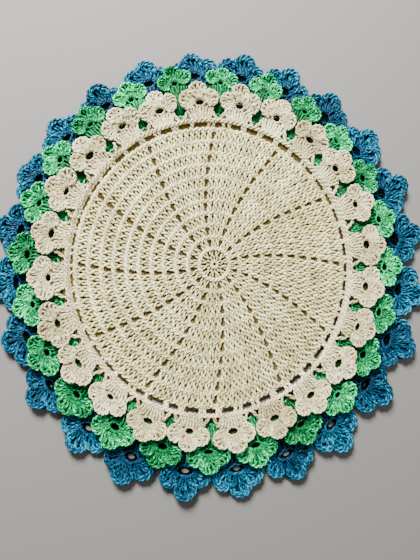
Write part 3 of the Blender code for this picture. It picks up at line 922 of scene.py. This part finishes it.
def web_of_flower(web, flower):
    """The web behind a flower."""
    angle = 2 * np.pi * np.arange(WEB_COLUMNS) / WEB_COLUMNS
    edge, hole, looks = web_edge(flower, angle), hole_ring(flower, angle), LOOKS[flower.colour]
    ring = np.hypot(hole[:, 0], hole[:, 1])
    far, near = looks["web"]
    farness = np.clip((math.sin(flower.direction) - NEAR_SIDE[1]) / (NEAR_SIDE[0] - NEAR_SIDE[1]), 0.0, 1.0)
    start = ring + 0.2 * MM
    distance = np.concatenate([(near + (far - near) * farness) * ring[None],
                               start + (edge - start) * WEB_SHARES[:, None]])
    tones = np.ones(distance.shape)
    # Painted shade: in the blue holes the web's tone is lowest, so they show dark.
    tones[:2] = looks["hole"]
    web.patch(place(flower, polar(distance, np.arctan2(hole[:, 1], hole[:, 0]), 0.65 * MM)), tones)


print("a flower's web has", WEB_COLUMNS * len(WEB_SHARES), "cells")

# %% [markdown]
# ## The tiers
# The cream flowers stand on the chain of the spaces. Each coloured tier stands on a foundation chain
# of its own, which the tier above hides. It could carry posts of its own, but none of them would
# show, so a plain chain and a plain band of web will do.

# %% Work the tiers
BANDS = {"green": 131.3 * MM, "blue": 148.3 * MM}  # radii of the foundation chains
BAND_RINGS, BAND_COLUMNS = np.array([-2.0, 4.5, 11.0]) * MM, 72


def work_foundation(yarn, colour):
    """The foundation chain of a coloured tier, and the band of web on it."""
    close_round(yarn, BANDS[colour], CHAIN_STITCHES, 1.5 * MM, thick=0.8 * MM, spread=0.7 * MM,
                lift=0.5 * MM, colour=colour, steps=3)
    angle = 2 * np.pi * np.arange(BAND_COLUMNS) / BAND_COLUMNS
    # Painted shade: the band of web is dark, and shows in the holes of the tier above.
    webs[colour].patch(polar((BANDS[colour] + BAND_RINGS)[:, None], angle, 0.75 * MM), 0.0)


def work_tier(colour):
    """All the flowers of a tier."""
    yarn, dice, looks = Yarn(), random.Random(TIERS[colour]["seed"]), LOOKS[colour]
    for number in range(FLOWERS):
        flower = Flower(colour, number, dice)
        work_fan(yarn, flower, looks)
        for petal in range(len(PETALS)):
            work_petal_posts(yarn, flower, petal, looks)
            work_loops(yarn, flower, petal, looks)
            work_rim(yarn, flower, petal, looks)
        web_of_flower(webs[colour], flower)
    if colour in BANDS:
        work_foundation(yarn, colour)
    return yarn.mesh(colour + "_flowers")


flower_tiers = {colour: work_tier(colour) for colour in TIERS}
backs = {colour: web.mesh(colour + "_web") for colour, web in webs.items()}


# %% [markdown]
# ## Materials
# A material is a tree of nodes, and dozens of Math nodes are hard to read as a list. Shader maths is
# easier to read as Python, so one small class wraps a socket, and + - * on it add the nodes.

# %% A small language for shaders
class Value:
    """A number in a node tree: + - * and the sine add Math nodes."""

    def __init__(self, shader, socket):
        self.shader, self.socket = shader, socket

    def maths(self, operation, *terms):
        return self.shader.node("ShaderNodeMath", {"operation": operation}, dict(enumerate(terms)))["Value"]

    def __add__(self, other):
        return self.maths("ADD", self, other)

    def __sub__(self, other):
        return self.maths("SUBTRACT", self, other)

    def __rsub__(self, other):
        return self.maths("SUBTRACT", other, self)

    def __mul__(self, other):
        return self.maths("MULTIPLY", self, other)

    __radd__, __rmul__ = __add__, __mul__

    def sine(self):
        return self.maths("SINE", self)


class Shader:
    """Adds nodes to a material's tree."""

    def __init__(self, name):
        self.material = bpy.data.materials.new(name)
        self.material.use_nodes = True
        self.tree = self.material.node_tree

    def node(self, kind, settings=None, inputs=None):
        """A node of a type, with its settings first and then its sockets; returns its outputs."""
        made = self.tree.nodes.new(kind)
        for key, setting in (settings or {}).items():
            if key == "stops":
                ramp = made.color_ramp
                while len(ramp.elements) < len(setting):
                    ramp.elements.new(0.5)
                for element, (position, colour) in zip(ramp.elements, setting):
                    element.position, element.color = position, (*colour, 1.0)
            else:
                setattr(made, key, setting)
        for key, given in (inputs or {}).items():
            if isinstance(given, Value):
                self.tree.links.new(given.socket, made.inputs[key])
            else:
                made.inputs[key].default_value = given
        return {out.identifier: Value(self, out) for out in made.outputs}

    def finish(self, links, constants):
        """Links what varies, and sets what is the same all over, on the shader's own sockets."""
        inputs = self.tree.nodes["Principled BSDF"].inputs
        for socket, given in links.items():
            self.tree.links.new(given.socket, inputs[socket])
        for socket, given in constants.items():
            inputs[socket].default_value = given
        print("material", self.material.name, "has", len(self.tree.nodes), "nodes")
        return self.material


# %% [markdown]
# Cotton string is matt, a little uneven in colour, and laid up from plies that wind round the yarn.
# A single colour with a noise would do from far away. Here the tone of each strand, which carries
# painted shade and light, runs through a ramp from the painted shade between the stitches to the
# painted highlight on the crest, patches of noise make the dye uneven, and a sine along the yarn's
# own map winds the plies and paints faint shade between them. The pale flowers also have warm
# patches at random.

# %% Cotton yarn
PLIES, PLY_LENGTH = 3, 3.6 * MM  # plies round the yarn, and the length from one to the next along it
PATCH_SCALE, WARM_PATCH_SCALE, FUZZ_SCALE = 60.0, 55.0, 2500.0
MIX_SHARE, MIX_FIRST, MIX_SECOND = 0, 6, 7  # the sockets of a Mix node that mixes colours


def noise(shader, scale, detail):
    """A noise over the object's own space, from 0 to 1."""
    where = shader.node("ShaderNodeTexCoord")["Object"]
    return shader.node("ShaderNodeTexNoise", None,
                       {"Vector": where, "Scale": scale, "Detail": detail})["Fac"]


def warm_patched(shader, colour, warm_tint):
    """The colour with warm spots."""
    spots = noise(shader, WARM_PATCH_SCALE, 3.0)
    share = shader.node("ShaderNodeMapRange", None,
                        {"Value": spots, "From Min": 0.58, "From Max": 0.74, "To Max": 0.65})["Result"]
    mixed = shader.node("ShaderNodeMix", {"data_type": "RGBA", "blend_type": "MULTIPLY"},
                        {MIX_SHARE: share, MIX_FIRST: colour, MIX_SECOND: (*warm_tint, 1.0)})
    return mixed["Result_Color"]


def cotton(name, stops, roughness, gloss, warm_tint=None):
    """A yarn material: tones from a ramp, patches of shade, and plies that wind round the yarn."""
    shader = Shader(name)
    tone = shader.node("ShaderNodeAttribute", {"attribute_name": "tone"})["Fac"]
    patches = noise(shader, PATCH_SCALE, 3.0)
    yarn_map = shader.node("ShaderNodeUVMap", {"uv_map": "yarn"})["UV"]
    split = shader.node("ShaderNodeSeparateXYZ", None, {"Vector": yarn_map})
    plies = (split["X"] * (2 * math.pi * PLIES) + split["Y"] * (2 * math.pi / PLY_LENGTH)).sine()
    # The tone brings painted shade and light, and the plies paint faint shade between them.
    shade = tone * 0.8 + patches * 0.5 + plies * 0.08 - 0.22
    colour = shader.node("ShaderNodeValToRGB", {"stops": stops}, {"Fac": shade})["Color"]
    if warm_tint:
        colour = warm_patched(shader, colour, warm_tint)
    fuzz = noise(shader, FUZZ_SCALE, 2.0)
    bump = shader.node("ShaderNodeBump", None,
                       {"Strength": 1.0, "Distance": 0.0003, "Height": plies * 0.3 + fuzz * 0.5})["Normal"]
    return shader.finish({"Base Color": colour, "Normal": bump},
                         {"Roughness": roughness, "Specular IOR Level": gloss})


YARNS = {
    "disc": cotton("cream_cotton", [(0.0, (0.13, 0.11, 0.045)), (0.45, (0.37, 0.325, 0.14)),
                                    (0.8, (0.70, 0.64, 0.32)), (1.0, (0.98, 0.94, 0.60))], 0.85, 0.3),
    "cream": cotton("flower_cotton", [(0.0, (0.20, 0.16, 0.06)), (0.45, (0.43, 0.37, 0.18)),
                                      (0.8, (0.76, 0.69, 0.41)), (1.0, (0.99, 0.96, 0.74))], 0.85, 0.3,
                    warm_tint=(1.0, 0.80, 0.52)),
    "green": cotton("green_cotton", [(0.0, (0.0, 0.02, 0.003)), (0.4, (0.0, 0.10, 0.025)),
                                     (0.75, (0.0, 0.32, 0.085)), (1.0, (0.07, 1.0, 0.36))], 0.55, 0.2),
    "blue": cotton("blue_cotton", [(0.0, (0.0, 0.004, 0.012)), (0.45, (0.0, 0.030, 0.068)),
                                   (0.8, (0.0, 0.090, 0.16)), (1.0, (0.02, 0.27, 0.40))], 0.5, 0.2),
}

# %% [markdown]
# The web is what shows between the strands: the back of the stitches, from that behind the rounds
# to that behind the flowers, coloured with painted shade and, in the cream, some painted light. It
# could share the yarn's material, but it lies in the dark and has no map, so it has a plain one of
# its own, with little gloss, because even a faint reflection would make so dark a cloth look grey.

# %% The back of the stitches, in painted shade
def web_painted_shade(name, stops):
    """The material of a web: its tone and fine loops of noise, through a ramp of painted shade and light."""
    shader = Shader(name)
    tone = shader.node("ShaderNodeAttribute", {"attribute_name": "tone"})["Fac"]
    loops = noise(shader, 900.0, 2.0)
    shade = tone * 0.9 + loops * 0.3 - 0.1
    colour = shader.node("ShaderNodeValToRGB", {"stops": stops}, {"Fac": shade})["Color"]
    bump = shader.node("ShaderNodeBump", None,
                       {"Strength": 0.8, "Distance": 0.0005, "Height": loops})["Normal"]
    return shader.finish({"Base Color": colour, "Normal": bump},
                         {"Roughness": 0.9, "Specular IOR Level": 0.05})


# Painted shade: each back is near black, or dark green or blue, far darker than its yarn; the cream one
# reaches painted light at its pale end.
WEB_PAINTED_SHADES = {
    "cream": web_painted_shade("cream_back_painted_shade", [(0.0, (0.016, 0.012, 0.006)), (0.5, (0.19, 0.13, 0.035)),
                                       (1.0, (0.55, 0.48, 0.27))]),
    "green": web_painted_shade("green_back_painted_shade", [(0.0, (0.03, 0.11, 0.02)), (1.0, (0.0, 0.08, 0.02))]),
    "blue": web_painted_shade("blue_back_painted_shade", [(0.0, (0.0, 0.001, 0.003)), (1.0, (0.0, 0.02, 0.05))]),
}

# %% [markdown]
# ## Dress the pieces
# Each colour stands for one solid of the frame, which stays for weight and contact and is hidden.
# The yarn and its web take its place and ride on the one body.

# %% Dress the pieces, and let them ride and replace
stitches = {"cream": [*disc, chain_spaces, flower_tiers["cream"]],
            "green": [flower_tiers["green"]], "blue": [flower_tiers["blue"]]}
NODES = {"cream": "cream_mat", "green": "green_border", "blue": "blue_border"}
for colour, pieces in stitches.items():
    for piece in pieces:
        piece.data.materials.append(YARNS["disc" if piece in disc else colour])
    backs[colour].data.materials.append(WEB_PAINTED_SHADES[colour])
    for piece in [*pieces, backs[colour]]:
        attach(piece, "root")
        colour + "_cotton"
        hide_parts(NODES[colour])
    print(NODES[colour], "is shown by", [piece.name for piece in pieces], "and", backs[colour].name)

# %% [markdown]
# ## How the pieces would lie flat
# The cream mat is a round that would lie in a square.
# The two edgings would each lie straight as a strip, as long as the ring of their flowers' holes.

# %% [markdown]
# ## Studio
# The mat lies on a plain pale floor. Soft light slants in from one window on the far side, so
# that every strand casts a short shadow, and a large weak softbox and a dim sky fill the shade. One
# light overhead would be simpler, but would flatten the stitches.

# %% Floor and light
WINDOW_POWER, FILL_POWER = 56.0, 2.4  # watts


def add_area(name, location, size, power):
    """A square softbox that faces the mat."""
    data = bpy.data.lights.new(name, "AREA")
    data.size, data.energy = size, power
    made = bpy.data.objects.new(name, data)
    made.location = location
    made.rotation_euler = (-Vector(location)).to_track_quat("-Z", "Y").to_euler()
    bpy.context.scene.collection.objects.link(made)


bpy.ops.mesh.primitive_plane_add(size=3.0, location=(0.0, 0.0, -0.0002))
floor = bpy.context.object
floor.name = "floor"
floor.data.materials.append(Shader("paper").finish({}, {"Base Color": (0.203, 0.195, 0.182, 1.0),
                                                        "Roughness": 0.9}))
add_area("window", (-0.35, 0.8, 0.75), size=0.4, power=WINDOW_POWER)
add_area("fill", (0.7, -0.3, 0.9), size=1.0, power=FILL_POWER)

world = bpy.data.worlds.new("studio")
bpy.context.scene.world = world
world.use_nodes = True
world.node_tree.nodes["Background"].inputs["Color"].default_value = (1.0, 1.0, 1.0, 1.0)
world.node_tree.nodes["Background"].inputs["Strength"].default_value = 0.18
print("lights:", [light.name for light in bpy.data.lights])

# %% [markdown]
# ## Camera
# The photograph was taken from above, a little off the middle and a little tilted. A camera straight
# above would not show the same sides of the stitches. So the place and the tilt were worked out
# from where the eyelets and the flowers' holes lie in its frame, which is 420 by 560 pixels.

# %% The camera of the photograph
FRAME_HEIGHT, FOCAL_PIXELS, SENSOR = 560, 450, 36  # two lengths in pixels, and one in millimetres
camera_data = bpy.data.cameras.new("camera")
camera_data.lens = FOCAL_PIXELS * SENSOR / FRAME_HEIGHT
camera = bpy.data.objects.new("camera", camera_data)
camera.location = (-0.06585, -0.04446, 0.38151)
camera.rotation_euler = (0.0864, -0.1436, 0.0)
bpy.context.scene.collection.objects.link(camera)
bpy.context.scene.camera = camera
print("camera", round(camera.location.z / MM), "mm up, lens", round(camera_data.lens, 1), "mm")
